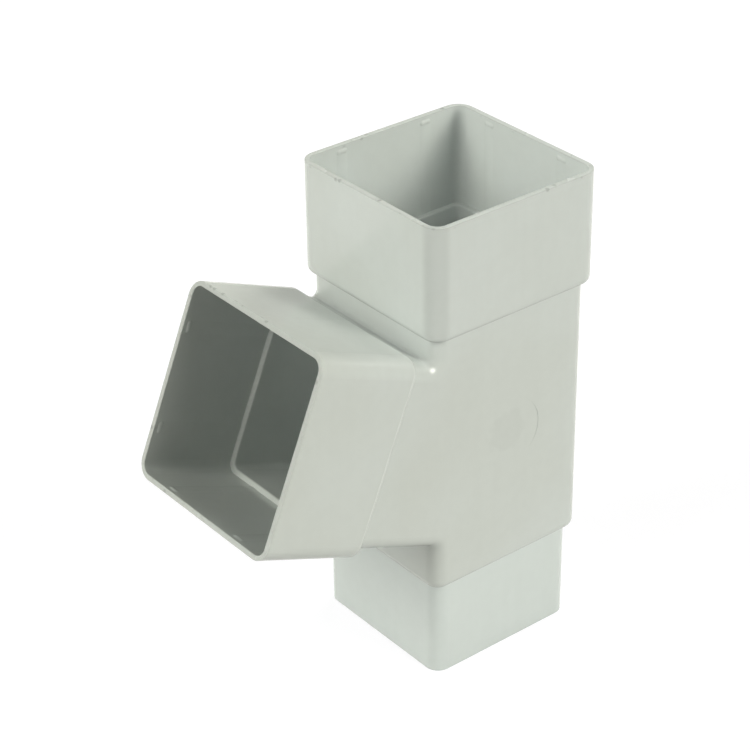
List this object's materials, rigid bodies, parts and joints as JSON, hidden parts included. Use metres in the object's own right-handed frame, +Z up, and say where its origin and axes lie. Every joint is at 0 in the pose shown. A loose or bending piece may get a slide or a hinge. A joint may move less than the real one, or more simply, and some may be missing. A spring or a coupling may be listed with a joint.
{
  "type": "downpipe branch",
  "caption": "Square rainwater downpipe branch: a straight square run with a spigot below and a socket above, and a slanted socket on one side that takes a second pipe.",
  "frame": {"origin": "middle of the spigot's open end, at the foot of the main run", "axes": "+Z up the main run from the spigot to the top socket, the branch leaves towards -X and rises, +Y across both runs"},
  "size_m": [0.1383, 0.0694, 0.1739],
  "materials": {
    "moulded_plastic": "smooth, semi-glossy pale grey"
  },
  "bodies": {
    "root": {"downpipe_branch": "moulded_plastic"}
  },
  "joints": []
}
